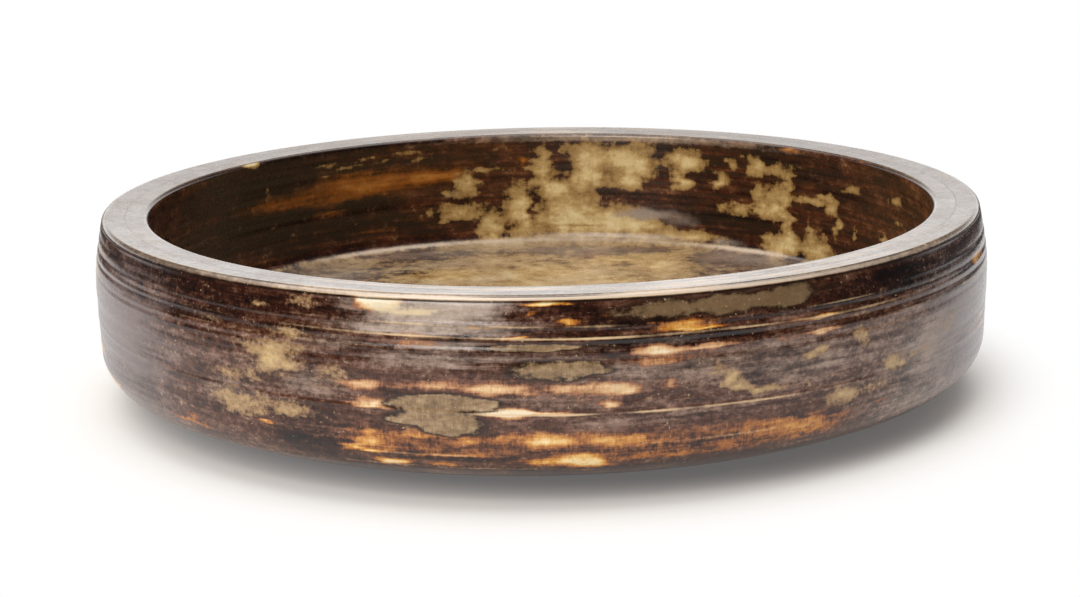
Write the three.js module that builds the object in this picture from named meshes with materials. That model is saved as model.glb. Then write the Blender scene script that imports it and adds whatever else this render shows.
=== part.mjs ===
// A low stoneware bowl: one thrown clay body with a turned foot, glazed outside and inside.
// Lengths are in millimetres, +Z is up, and the origin is the centre of the foot's resting face.
import * as THREE from "three";

// Sizes over the glaze, with heights above the table.
const rimHeight = 47.6;
const rimDiameter = 219.6;
const rimWidth = 11.3;
const rimFall = 0.4; // how much lower the rim's inner edge lies than its outer edge
const rimOutsideRounding = 1.2;
const rimInsideRounding = 1;
const bellyDiameter = 224.6;
const bellyHeight = 35.8;
const bellyRounding = 90;
const bellyWall = 13.2;
const heelDiameter = 223;
const heelHeight = 9.6;
const heelRounding = 9;
const heelWall = 13;
const undersideHeight = 3.5; // at the bend halfway between the glaze line and the heel
const undersideRounding = 40;
const floorHeight = 14.4;
const floorRounding = 4;

// Turned grooves that run round the outside under the rim.
const grooveCount = 3;
const grooveWidth = 1.3;
const grooveDepth = 0.35;
const groovePitch = 2.7;
const grooveDrop = 5.1; // from the rim down to the first groove

// The glaze is a glass coat that ends in a line on the underside, beside the bare foot.
const glazeThickness = 0.6;
const glazeSeam = 0.05; // the fused joint to the clay, and between the two coats, drawn as a thin gap
const glazeLineGap = 1.2; // bare clay between the foot and the glaze
const glazeLineHeight = 2;

// The foot is a ring of bare clay round a turned recess.
const footDiameter = 160;
const footWidth = 7;
const footFlare = 0.3; // how much wider the ring is where it leaves the body
const footEdgeRounding = 0.7;
const recessDepth = 4;
const recessRounding = 1.4;

// Facets round the bowl, and steps along each rounded edge.
const turns = 48;
const fineSteps = 2;
const wideSteps = 4;

// A corner of an outline: its place, and the arc that rounds it.
function corner(radius, height, rounding = 0, steps = 0) {
  return { at: new THREE.Vector2(radius, height), rounding, steps };
}

// Replaces each rounded corner by an arc that touches both its sides, no longer than half of either.
function rounded(corners) {
  return corners.flatMap(({ at, rounding, steps }, i) => {
    if (!rounding) return [at.clone()];
    const back = corners[i - 1].at.clone().sub(at);
    const ahead = corners[i + 1].at.clone().sub(at);
    const half = Math.acos(back.dot(ahead) / (back.length() * ahead.length())) / 2;
    const reach = Math.min(rounding / Math.tan(half), back.length() / 2, ahead.length() / 2);
    const start = at.clone().addScaledVector(back.normalize(), reach);
    const towardsCentre = back.clone().add(ahead.normalize()).normalize();
    const centre = at.clone().addScaledVector(towardsCentre, reach / Math.cos(half));
    const turn = (Math.PI - 2 * half) * Math.sign(ahead.cross(back));
    return Array.from({ length: steps + 1 }, (_, k) =>
      start.clone().rotateAround(centre, (turn * k) / steps),
    );
  });
}

// The line moved to its left by a depth, which is where the clay lies under the glaze.
function inset(line, depth) {
  return line.map((point, i) => {
    const sides = [line[i - 1], point, line[i + 1]].filter(Boolean);
    const normals = sides.slice(1).map((end, k) => {
      const along = end.clone().sub(sides[k]).normalize();
      return new THREE.Vector2(-along.y, along.x);
    });
    const mitre = normals[0].clone().add(normals.at(-1)).normalize();
    return point.clone().addScaledVector(mitre, depth / mitre.dot(normals[0]));
  });
}

// Cuts the turned grooves into a line that climbs the outside of the wall.
function grooved(line) {
  const radiusAt = (height) => {
    const i = line.findIndex((point, k) => k > 0 && point.y >= height);
    const [low, high] = [line[i - 1], line[i]];
    return low.x + ((high.x - low.x) * (height - low.y)) / (high.y - low.y);
  };
  const cuts = Array.from({ length: grooveCount }, (_, k) => {
    const middle = rimHeight - grooveDrop - groovePitch * k;
    return [-grooveWidth / 2, 0, grooveWidth / 2].map(
      (shift) =>
        new THREE.Vector2(radiusAt(middle + shift) - (shift ? 0 : grooveDepth), middle + shift),
    );
  });
  const clear = line.filter(
    (point) => !cuts.some(([low, , high]) => point.y >= low.y && point.y <= high.y),
  );
  return [...clear, ...cuts.flat()].sort((a, b) => a.y - b.y);
}

// The glazed surface outside, from the glaze line over the heel and the belly to the middle of the rim.
const rimRadius = rimDiameter / 2;
const rimMiddle = rimRadius - rimWidth / 2;
const heelRadius = heelDiameter / 2;
const bellyRadius = bellyDiameter / 2;
const footRadius = footDiameter / 2;
const glazeLineRadius = footRadius + footFlare + glazeLineGap;
const outsideLine = rounded([
  corner(glazeLineRadius, glazeLineHeight),
  corner((glazeLineRadius + heelRadius) / 2, undersideHeight, undersideRounding, fineSteps),
  corner(heelRadius, heelHeight, heelRounding, wideSteps),
  corner(bellyRadius, bellyHeight, bellyRounding, wideSteps),
  corner(rimRadius, rimHeight, rimOutsideRounding, fineSteps),
  corner(rimMiddle + glazeSeam / 2, rimHeight - rimFall / 2),
]);
const wallPoints = outsideLine.slice(0, -1 - fineSteps);
const rimPoints = outsideLine.slice(-1 - fineSteps);
const outsideSurface = [...grooved(wallPoints), ...rimPoints];

// The glazed surface inside, from the middle of the rim down the wall and across the floor to the axis.
const insideSurface = rounded([
  corner(rimMiddle - glazeSeam / 2, rimHeight - rimFall / 2),
  corner(rimRadius - rimWidth, rimHeight - rimFall, rimInsideRounding, fineSteps),
  corner(bellyRadius - bellyWall, bellyHeight, bellyRounding, wideSteps),
  corner(heelRadius - heelWall, floorHeight, floorRounding, wideSteps),
  corner(0, floorHeight),
]);

// The clay has these surfaces under the glaze.
const outsideClay = inset(outsideSurface, glazeThickness);
const insideClay = inset(insideSurface, glazeThickness);

// The bare underside, from the axis across the recess and round the foot ring up to the glaze line.
const underside = rounded([
  corner(0, recessDepth),
  corner(footRadius - footWidth - footFlare, recessDepth, recessRounding, fineSteps),
  corner(footRadius - footWidth, 0, footEdgeRounding, fineSteps),
  corner(footRadius, 0, footEdgeRounding, fineSteps),
  corner(footRadius + footFlare, outsideClay[0].y),
]);

// A surface of revolution: its outline closes on itself or starts and ends on the axis.
function revolved(name, outline, material) {
  const mesh = new THREE.Mesh(new THREE.LatheGeometry(outline, turns), material);
  mesh.name = name;
  return mesh;
}

const fired = new THREE.MeshStandardMaterial({ color: 0x8f7760, roughness: 0.85, metalness: 0 });
const brown = new THREE.MeshStandardMaterial({ color: 0x4b3429, roughness: 0.25, metalness: 0 });
const sandy = new THREE.MeshStandardMaterial({ color: 0x8d6f47, roughness: 0.3, metalness: 0 });

// The backs of the two coats, just off the clay.
const coat = glazeThickness - glazeSeam;
const outsideBack = inset(outsideSurface, coat).reverse();
const insideBack = inset(insideSurface, coat).reverse();

const bowl = new THREE.Group();
bowl.name = "stoneware_bowl";
bowl.rotation.x = Math.PI / 2; // a lathe turns about Y, and the bowl stands along Z
bowl.add(
  revolved("stoneware_body", [...underside, ...outsideClay, ...insideClay], fired),
  revolved("outside_glaze", [...outsideSurface, ...outsideBack, outsideSurface[0]], brown),
  revolved("inside_glaze", [...insideBack, ...insideSurface], sandy),
);

export default bowl;
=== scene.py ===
# The looks of a low stoneware bowl: a thrown clay body under two glossy, mottled coats of glaze.
import math

import bpy
import numpy as np
from mathutils import Matrix, Vector


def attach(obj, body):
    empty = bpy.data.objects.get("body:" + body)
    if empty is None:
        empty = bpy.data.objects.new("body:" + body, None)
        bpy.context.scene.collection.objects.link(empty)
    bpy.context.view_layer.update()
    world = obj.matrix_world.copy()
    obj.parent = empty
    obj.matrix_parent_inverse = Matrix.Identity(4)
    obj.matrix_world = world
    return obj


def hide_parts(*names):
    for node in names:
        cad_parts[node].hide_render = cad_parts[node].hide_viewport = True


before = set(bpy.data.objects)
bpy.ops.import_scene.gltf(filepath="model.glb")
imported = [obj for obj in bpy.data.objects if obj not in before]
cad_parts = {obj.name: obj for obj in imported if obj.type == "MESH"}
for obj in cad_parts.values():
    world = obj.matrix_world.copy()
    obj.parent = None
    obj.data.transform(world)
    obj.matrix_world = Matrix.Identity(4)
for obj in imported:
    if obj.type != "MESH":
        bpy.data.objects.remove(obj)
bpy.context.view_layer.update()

MM = 0.001

# Sizes over the glaze in millimetres, the same as the part's solids have.
RIM_HEIGHT = 47.6
RIM_RADIUS = 109.8
RIM_WIDTH = 11.3
RIM_FALL = 0.4
RIM_MIDDLE = RIM_RADIUS - RIM_WIDTH / 2
RIM_OUTSIDE_ROUNDING = 1.2
RIM_INSIDE_ROUNDING = 1
BELLY_RADIUS = 112.3
BELLY_HEIGHT = 35.8
BELLY_WALL = 13.2
BELLY_ROUNDING = 90
HEEL_RADIUS = 111.5
HEEL_HEIGHT = 9.6
HEEL_WALL = 13.0
HEEL_ROUNDING = 9
UNDERSIDE_HEIGHT = 3.5
UNDERSIDE_ROUNDING = 40
FLOOR_HEIGHT = 14.4
FLOOR_ROUNDING = 4
GLAZE = 0.6
SEAM = 0.05
GLAZE_LINE = (81.5, 2.0)
FOOT_RADIUS = 80.0
FOOT_WIDTH = 7.0
FOOT_FLARE = 0.3
FOOT_EDGE_ROUNDING = 0.7
RECESS = 4.0
RECESS_ROUNDING = 1.4

# Turned lines of the visible pieces, each as (height at the front, depth or rise, half width) in mm.
GROOVES = ((42.5, 0.06, 0.6), (39.8, 0.16, 0.8), (37.1, 0.16, 0.65), (34.2, 0.04, 0.7))
RIDGE = (22.3, 0.14, 0.45)
CREASE = (46.25, 0.1, 0.3)

# How a bowl thrown by hand strays from round and level, in mm, and towards which side, in radians.
OVAL = 0.12
RIM_DIP = 0.135
RIM_DIP_SWING = 0.13
RIM_LOW_SIDE = 2.3
HEEL_SWING = 0.45
HEEL_SHRINK = 0.1
HEEL_FULL_SIDE = math.radians(200)
SLANT = 1.25
SLANT_AT_FRONT = 0.62
SLANT_LOW_SIDE = math.radians(330)

# Angles in degrees: where the glaze on the rim is thinnest and the rim's outer edge has a painted highlight,
# and what the photograph doesn't show.
THIN_AND_HIGHLIGHT_SIDE = 275
UNSEEN_OUTSIDE = (-25, 200)
UNSEEN_INSIDE = (182, 358)

# Where the rows of the pieces change: radii in mm first, then heights, with two bands of turned lines.
HEEL_START = 104
FLOOR_MIDDLE = 60
RECESS_MIDDLE = 68
HEEL_TOP = 9
WALL_FOOT = 20
LIP_BOTTOM = 46
LINED = ((34, 43), (20.5, 24.5))

# How finely the pieces are drawn: points on an arc, the steps along a line in mm, and places round the bowl.
ARC_POINTS = 25
FINE_STEP = 0.02
COAT_TURNS = 520
CLAY_TURNS = 360
SHARP_ANGLE = math.radians(40)


def camera():
    """The photograph's view: 0.62 m off, 13.4 degrees above the table, with the picture turned a degree."""
    elevation, roll, distance = math.radians(13.408), math.radians(-1.01), 0.616
    data = bpy.data.cameras.new("camera")
    data.sensor_width = 36
    data.lens = 80.02
    data.clip_start = 0.01
    data.clip_end = 50
    made = bpy.data.objects.new("camera", data)
    bpy.context.scene.collection.objects.link(made)
    bpy.context.scene.camera = made
    back = Vector((0, -math.cos(elevation), math.sin(elevation)))
    aim = Vector((-0.0005, 0, 0.02084))
    turn = Matrix.Rotation(math.pi / 2 - elevation, 4, "X") @ Matrix.Rotation(roll, 4, "Z")
    made.matrix_world = Matrix.Translation(aim + back * distance) @ turn


camera()


def linear(colour):
    """An sRGB hex colour as linear red, green, blue and alpha."""
    parts = np.array([int(colour[i : i + 2], 16) for i in (1, 3, 5)]) / 255
    parts = np.where(parts <= 0.04045, parts / 12.92, ((parts + 0.055) / 1.055) ** 2.4)
    return (*parts.tolist(), 1.0)


# Shapes


def outline(corners):
    """The corners (radius, height, rounding) joined by straight lines, where a rounded corner is an arc that
    touches both its sides and takes no more than half of either."""
    at = [np.array(corner[:2], float) for corner in corners]
    points = [at[0][None]]
    for before, here, after, corner in zip(at, at[1:], at[2:], corners[1:]):
        if not corner[2]:
            points.append(here[None])
            continue
        back, ahead = before - here, after - here
        long_back, long_ahead = np.hypot(*back), np.hypot(*ahead)
        back, ahead = back / long_back, ahead / long_ahead
        half = math.acos(back @ ahead) / 2
        reach = min(corner[2] / math.tan(half), long_back / 2, long_ahead / 2)
        radius = reach * math.tan(half)
        middle = (back + ahead) / np.hypot(*(back + ahead))
        centre = here + middle * reach / math.cos(half)
        side = (back - ahead) / np.hypot(*(back - ahead))
        turn = np.linspace(math.pi / 2 - half, half - math.pi / 2, ARC_POINTS)[:, None]
        points.append(centre - radius * (middle * np.cos(turn) - side * np.sin(turn)))
    points.append(at[-1][None])
    return np.concatenate(points)


def spaced(line, spacing):
    """The line with new points, as far apart as the spacing says for each radius and height."""
    steps = np.hypot(*np.diff(line, axis=0).T)
    along = np.r_[0, np.cumsum(steps)]
    fine = np.linspace(0, along[-1], int(along[-1] / FINE_STEP))
    points = np.stack([np.interp(fine, along, part) for part in line.T], 1)
    count = np.r_[0, np.cumsum(FINE_STEP / spacing(points[1:, 0], points[1:, 1]))]
    ends = np.linspace(0, count[-1], int(count[-1]) + 1)
    return np.stack([np.interp(ends, count, part) for part in points.T], 1)


def outwards(line):
    """The line's unit normals to its right, which face out of the clay where it runs up the outside."""
    along = np.gradient(line, axis=0)
    along /= np.hypot(*along.T)[:, None]
    return np.stack([along[:, 1], -along[:, 0]], 1)


def thrown(angle, radius, height):
    """A round place moved to where a bowl thrown by hand has it. The wall is a little oval, by the cosine of
    twice the angle. The rim dips by a quarter of a millimetre on one side, and the heel is fuller to the left
    than to the right, both by the cosine of the angle."""
    share = np.clip(height / RIM_HEIGHT, 0, 1)
    oval = OVAL * (1 - np.cos(2 * angle)) * np.clip(radius / HEEL_RADIUS, 0, 1) * share
    dip = (RIM_DIP + RIM_DIP_SWING * np.cos(angle - RIM_LOW_SIDE)) * share**3
    heel = bell(height, 6.5, 4.5) * np.clip((radius - 85) / 20, 0, 1)
    fuller = HEEL_SWING * np.cos(angle - HEEL_FULL_SIDE) * heel
    return radius - oval + fuller - HEEL_SHRINK * heel, height - dip


def slant(angle):
    """How much higher than at the front the turned lines run. They are lowest at 330 degrees and climb by a
    millimetre to the left, by the cosine of the angle."""
    return SLANT_AT_FRONT - SLANT * np.cos(angle - SLANT_LOW_SIDE)


def solid(name, places, faces):
    """A mesh object from places and arrays of faces, each array with faces of one number of corners."""
    mesh = bpy.data.meshes.new(name)
    corners = np.concatenate([face.ravel() for face in faces]).astype(np.int32)
    sizes = np.concatenate([np.full(len(face), face.shape[1]) for face in faces])
    starts = np.r_[0, np.cumsum(sizes)[:-1]].astype(np.int32)
    mesh.vertices.add(len(places))
    mesh.vertices.foreach_set("co", places.ravel())
    mesh.loops.add(len(corners))
    mesh.loops.foreach_set("vertex_index", corners)
    mesh.polygons.add(len(sizes))
    mesh.polygons.foreach_set("loop_start", starts)
    mesh.polygons.foreach_set("use_smooth", np.ones(len(sizes), bool))
    mesh.update(calc_edges=True)
    made = bpy.data.objects.new(name, mesh)
    bpy.context.scene.collection.objects.link(made)
    return made


def places_of(piece):
    """Angle in degrees, radius and height in millimetres of each corner of a piece's mesh."""
    flat = np.empty(len(piece.data.vertices) * 3)
    piece.data.vertices.foreach_get("co", flat)
    x, y, z = flat.reshape(-1, 3).T / MM
    return np.degrees(np.arctan2(y, x)) % 360, np.hypot(x, y), z


def paint(piece, name, values):
    """Keeps one number for each corner of a piece's mesh, for its material to read."""
    kept = piece.data.attributes.new(name, "FLOAT", "POINT")
    kept.data.foreach_set("value", np.ascontiguousarray(values, np.float32))


def wander(angle, level, seed, width, depth):
    """A smooth random field, mostly between -1.5 and 1.5, made of sine waves in fixed random directions. Its
    features are about this wide and deep in mm, and it closes on itself round the bowl."""
    draw = np.random.default_rng(seed)
    waves = 28
    around = np.rint(draw.normal(0, 2 * HEEL_RADIUS / width, waves))
    up = draw.normal(0, 2 / depth, waves)
    phase = draw.uniform(0, 2 * math.pi, waves)
    turn = np.radians(angle)
    field = sum(np.sin(a * turn + u * level + p) for a, u, p in zip(around, up, phase))
    return field * math.sqrt(2 / waves)


def away_from(middle, angle):
    """Degrees from a middle angle, the short way round."""
    return (angle - middle + 180) % 360 - 180


def patches(angle, level, places, seed=0, stray=1.0):
    """How deep each place lies in a set of patches. A patch is (angle, level, half width in degrees, half
    height in mm, strength) and falls to half its strength at its edge. Random fields bend the edges by the
    share that they may stray, and the lower edge is the sharper one, because the glaze ran. Where patches
    overlap their cubes add up, so the strongest one tells most."""
    bend = 0.55 * wander(angle, level, seed + 50, 7, 2.6)
    bend = bend + 0.35 * wander(angle, level, seed + 51, 2.4, 1.3)
    lift = 0.18 * wander(angle, level, seed + 52, 8, 2.6)
    lift = lift + 0.15 * wander(angle, level, seed + 53, 3, 1.2)
    angle = angle + stray * bend
    level = level + stray * lift
    result = np.zeros(np.broadcast(angle, level).shape)
    for middle, height, half_width, half_height, strength in places:
        across = away_from(middle, angle) / half_width
        up = (level - height) / half_height
        up = up * np.where(up < 0, 1.15, 0.9)
        distance = across**2 + up**2
        result += (strength * 0.5 ** np.clip(distance, 0, 9) ** 1.15) ** 3
    return np.cbrt(result)


def rings(height, angle, seed, waves, depth):
    """Finger rings left by throwing: sine waves of these lengths in mm up the wall, added up. Each is a slow
    screw round the bowl that fades and returns, and all together are about this deep."""
    draw = np.random.default_rng(seed)
    shape = np.zeros(np.broadcast(height, angle).shape)
    for wave in waves:
        phase = draw.uniform(0, 2 * math.pi)
        fade = 0.6 + 0.4 * np.cos(angle * draw.integers(1, 4) + draw.uniform(0, 2 * math.pi))
        shape = shape + fade * np.sin(2 * math.pi * height / wave + phase + angle * draw.integers(-1, 2))
    return shape * depth / len(waves)


def bell(value, middle, width):
    """A smooth hump of height one."""
    return np.exp(-(((value - middle) / width) ** 2))


# The glazed surfaces: from the glaze line over the heel to the rim's middle, and on to the floor's middle.
OUTSIDE = outline(
    [
        (*GLAZE_LINE, 0),
        ((GLAZE_LINE[0] + HEEL_RADIUS) / 2, UNDERSIDE_HEIGHT, UNDERSIDE_ROUNDING),
        (HEEL_RADIUS, HEEL_HEIGHT, HEEL_ROUNDING),
        (BELLY_RADIUS, BELLY_HEIGHT, BELLY_ROUNDING),
        (RIM_RADIUS, RIM_HEIGHT, RIM_OUTSIDE_ROUNDING),
        (RIM_MIDDLE + SEAM / 2, RIM_HEIGHT - RIM_FALL / 2, 0),
    ]
)
INSIDE = outline(
    [
        (RIM_MIDDLE - SEAM / 2, RIM_HEIGHT - RIM_FALL / 2, 0),
        (RIM_RADIUS - RIM_WIDTH, RIM_HEIGHT - RIM_FALL, RIM_INSIDE_ROUNDING),
        (BELLY_RADIUS - BELLY_WALL, BELLY_HEIGHT, BELLY_ROUNDING),
        (HEEL_RADIUS - HEEL_WALL, FLOOR_HEIGHT, FLOOR_ROUNDING),
        (0, FLOOR_HEIGHT, 0),
    ]
)


def outside_spacing(radius, height):
    """Millimetres between rows: least on the rim, the grooves and the ridge, and most under the heel."""
    under = np.where(radius < HEEL_START, 1.2, 0.5)
    lined = [(height > bottom) & (height < top) for bottom, top in LINED]
    wall = np.where(np.any(lined, 0), 0.26, 0.5)
    return np.where(height < HEEL_TOP, under, np.where(height > LIP_BOTTOM, 0.22, wall))


def inside_spacing(radius, height):
    """Millimetres between rows: least on the lip, and most in the middle of the floor."""
    floor = np.where(radius < FLOOR_MIDDLE, 2.6, 1.4)
    wall = np.where(height < WALL_FOOT, 0.5, 0.55)
    return np.where(height < FLOOR_HEIGHT + 0.01, floor, np.where(height > LIP_BOTTOM, 0.3, wall))


def foot_spacing(radius, height):
    """Millimetres between rows: least on the foot ring, and most in the recess."""
    return np.where(radius < RECESS_MIDDLE, 1.1, 0.35)


def hidden_spacing(radius, height):
    """Millimetres between rows on faces that lie hidden between the glaze and the clay."""
    return np.full(np.shape(radius), 3.0)


def outside_lift(line, angle):
    """How far the outside glaze stands off its plain outline. Grooves and a ridge follow the slant of the
    turned lines, a crease runs level under the rim, and finger rings fade towards the rim and the heel."""
    radius, height = line[:, :1], line[:, 1:]
    level = height - slant(angle)
    shown = np.clip((radius - HEEL_START) / 4, 0, 1)
    cuts = sum(depth * bell(level, middle, width) for middle, depth, width in GROOVES)
    crease_height, crease_depth, crease_width = CREASE
    cuts = cuts + crease_depth * bell(height, crease_height, crease_width)
    ridge_height, rise, ridge_width = RIDGE
    ridge = rise * bell(level, ridge_height, ridge_width)
    wave = rings(height, angle, 4, (1.7, 2.9, 4.3, 6.1, 9.5), 0.16)
    ease = np.clip((RIM_HEIGHT - 2 - height) / 3, 0, 1)
    return bell(height, 26, 22) * shown * (ridge + wave - 0.1) * ease - cuts * shown


def inside_lift(line, angle):
    """How far the inside glaze stands off its plain outline: finger rings on the wall, and a slow spiral on
    the floor that flattens towards the middle."""
    radius, height = line[:, :1], line[:, 1:]
    wall = np.clip((height - FLOOR_HEIGHT - 1) / 4, 0, 1)
    wall = wall * np.clip((RIM_HEIGHT - 2.5 - height) / 3, 0, 1)
    floor = np.clip((90 - radius) / 8, 0, 1) * np.clip(radius / 20, 0, 1)
    floor = floor * (height < FLOOR_HEIGHT + 0.5)
    around = rings(height, angle, 9, (2.3, 3.7, 5.3, 8.9), 0.16) - 0.08
    spiral = rings(radius, angle, 12, (9.5, 14, 23), 0.12) - 0.06
    return wall * around + floor * spiral


def carried(name, radius, height, angle):
    """A closed piece from rows of radius and height carried once round the axis. Rows that start and end on
    the axis close there in two poles, and others close by joining the last row to the first."""
    turns = angle.shape[1]
    radius, height = thrown(angle, radius, height)
    places = np.stack([radius * np.cos(angle), radius * np.sin(angle), height], -1)
    poles = np.abs(radius[[0, -1]]).max() < 0.01
    grid = np.arange(places[..., 0].size).reshape(-1, turns)
    if poles:
        ends = [places[0].mean(0), places[-1].mean(0)]
        places = np.concatenate([places[1:-1].reshape(-1, 3), ends])
        grid = grid[:-2]
    ahead = np.roll(grid, -1, 1)
    if poles:
        first, last = np.full(turns, len(places) - 2), np.full(turns, len(places) - 1)
        sides = np.stack([grid[:-1], ahead[:-1], ahead[1:], grid[1:]], -1)
        caps = [np.stack([first, ahead[0], grid[0]], -1), np.stack([last, grid[-1], ahead[-1]], -1)]
        return solid(name, places * MM, [sides.reshape(-1, 4), *caps])
    above = np.roll(grid, -1, 0), np.roll(ahead, -1, 0)
    sides = np.stack([grid, ahead, above[1], above[0]], -1)
    return solid(name, places.reshape(-1, 3) * MM, [sides.reshape(-1, 4)])


def rows(line, lift, plain):
    """Radius and height of the rows round a piece: first the line's, each moved along its normal by its lift,
    which changes round the bowl, and then the plain ones."""
    normal = outwards(line)
    turns = lift.shape[1]
    return [
        np.concatenate([line[:, [i]] + normal[:, [i]] * lift, np.repeat(plain[:, [i]], turns, 1)])
        for i in (0, 1)
    ]


def coat(name, line, lift):
    """One coat of glaze as a closed shell: its shown surface, and its back just off the clay."""
    angle = np.linspace(0, 2 * math.pi, COAT_TURNS, endpoint=False)[None]
    back = spaced(line - outwards(line) * (GLAZE - SEAM), hidden_spacing)[::-1]
    return carried(name, *rows(line, lift(line, angle), back), angle)


def clay_body():
    """The clay. The foot ring and the recess are bare, with turning marks that are one slow spiral, and the
    other faces lie hidden under the glaze."""
    foot = [
        (0, RECESS, 0),
        (FOOT_RADIUS - FOOT_WIDTH - FOOT_FLARE, RECESS, RECESS_ROUNDING),
        (FOOT_RADIUS - FOOT_WIDTH, 0, FOOT_EDGE_ROUNDING),
        (FOOT_RADIUS, 0, FOOT_EDGE_ROUNDING),
        (FOOT_RADIUS + FOOT_FLARE, GLAZE_LINE[1] + GLAZE, 0),
    ]
    line = spaced(outline(foot), foot_spacing)
    angle = np.linspace(0, 2 * math.pi, CLAY_TURNS, endpoint=False)[None]
    marks = 0.05 * np.sin(2 * math.pi * line[:, :1] / 2.4 + angle) * (line[:, 1:] > 1)
    hidden = [spaced(part - outwards(part) * GLAZE, hidden_spacing) for part in (OUTSIDE, INSIDE)]
    return carried("clay_body", *rows(line, marks, np.concatenate(hidden)), angle)


outside = coat("glaze_outside", spaced(OUTSIDE, outside_spacing), outside_lift)
inside = coat("glaze_inside", spaced(INSIDE, inside_spacing), inside_lift)
clay = clay_body()

for piece, name in ((outside, "outside_glaze"), (inside, "inside_glaze"), (clay, "stoneware_body")):
    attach(piece, "root")
    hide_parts(name)


# Where the glaze has its patches, as (angle, height, half width in degrees, half height in mm, strength).
# Angles run round the bowl from +X, so 270 faces the viewer of the photograph.

# Warm patches are thin, runny glaze: amber that turns to cream where it is strongest. The cream patch high on
# the front-left and the pale spindle at 266 degrees are partly a painted highlight.
OUTSIDE_WARM = [
    # Partly a painted highlight: the cream patch high on the front-left.
    (251.6, 45.5, 2.6, 1.8, 1.3),
    (250.3, 46.3, 1.8, 1.2, 1.2),
    (256, 43.9, 2.8, 0.6, 0.8),
    (263, 40.9, 2.6, 0.4, 0.6),
    (267.5, 38.8, 2.0, 0.3, 0.9),
    (270, 45.7, 2.6, 0.45, 1.35),
    (269, 43.8, 1.6, 0.5, 0.6),
    (273.7, 41.8, 1.3, 0.6, 0.85),
    (276.3, 43.2, 0.9, 0.5, 0.55),
    (285, 39.8, 4.6, 1.2, 0.7),
    (286.8, 38.9, 4.0, 0.35, 1.0),
    (302.3, 38.2, 2.8, 0.45, 1.1),
    (282.3, 35.0, 2.4, 0.9, 1.1),
    (288, 35.2, 3.6, 0.5, 0.95),
    (282.6, 32.9, 2.6, 0.8, 0.7),
    (303.2, 34.9, 2.6, 0.5, 0.85),
    (298, 34.6, 1.6, 0.7, 0.45),
    (256, 37.4, 2.4, 0.7, 0.5),
    (250, 27.8, 2.3, 1.2, 0.92),
    (258, 28, 5.0, 0.9, 0.7),
    (265.4, 27.7, 2.6, 1.3, 0.95),
    (268, 27, 2.0, 0.5, 0.7),
    (272.5, 28, 2.6, 0.75, 0.75),
    (276.5, 27.6, 2.8, 1.3, 0.78),
    (279.4, 27.2, 1.7, 1.2, 0.88),
    (284.6, 27.6, 1.0, 1.1, 0.7),
    (277, 24.3, 1.1, 0.75, 0.95),
    (250.8, 23.8, 2.1, 1.1, 0.95),
    (250, 22.9, 2.8, 0.45, 1.0),
    # Partly a painted highlight: the pale spindle.
    (265.8, 22.5, 2.2, 1.1, 1.6),
    (268.5, 22.5, 3.0, 0.45, 1.2),
    (249.8, 17.4, 1.6, 0.9, 0.75),
    (250.5, 15.2, 2.0, 1.3, 0.9),
    (255, 17.5, 3.0, 0.9, 0.65),
    (262, 16.5, 3.0, 1.1, 0.75),
    (270, 16.0, 3.6, 1.7, 1.0),
    (265.5, 17.3, 2.5, 0.6, 0.6),
    (250.2, 13.2, 2.4, 0.45, 1.1),
    (258, 13, 5.0, 0.5, 0.7),
    (257, 14.8, 9, 3.2, 0.38),
    (269, 14.5, 9, 3.4, 0.33),
    (253.8, 10.6, 1.8, 0.6, 1.3),
    (259.2, 10.4, 1.2, 0.4, 0.8),
    (270, 11.2, 2.4, 0.9, 0.85),
    (273.9, 10.9, 2.8, 1.7, 1.16),
    (278, 15.8, 3.4, 1.2, 0.75),
    (275, 17, 2.5, 0.6, 0.5),
    (283, 15, 10, 3.0, 0.38),
    (282, 12, 7, 1.1, 0.5),
    (294, 14.5, 12, 3.4, 0.42),
    (262, 28, 12, 1.6, 0.3),
    (276, 26.5, 9, 2.4, 0.3),
    (284, 33.8, 6, 1.6, 0.33),
    (258, 38.3, 9, 1.6, 0.28),
    (252, 17, 5, 3, 0.35),
    (297, 15.4, 4.6, 1.7, 0.6),
    (301, 13.4, 5.6, 3.0, 0.57),
    (291, 12, 6, 1.3, 0.45),
    (225, 12.4, 4.0, 0.7, 0.6),
    (225, 13.6, 3, 0.7, 0.4),
    (237.8, 16.5, 0.9, 0.45, 0.95),
    (312.5, 15.7, 1.4, 0.4, 0.6),
]
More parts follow.
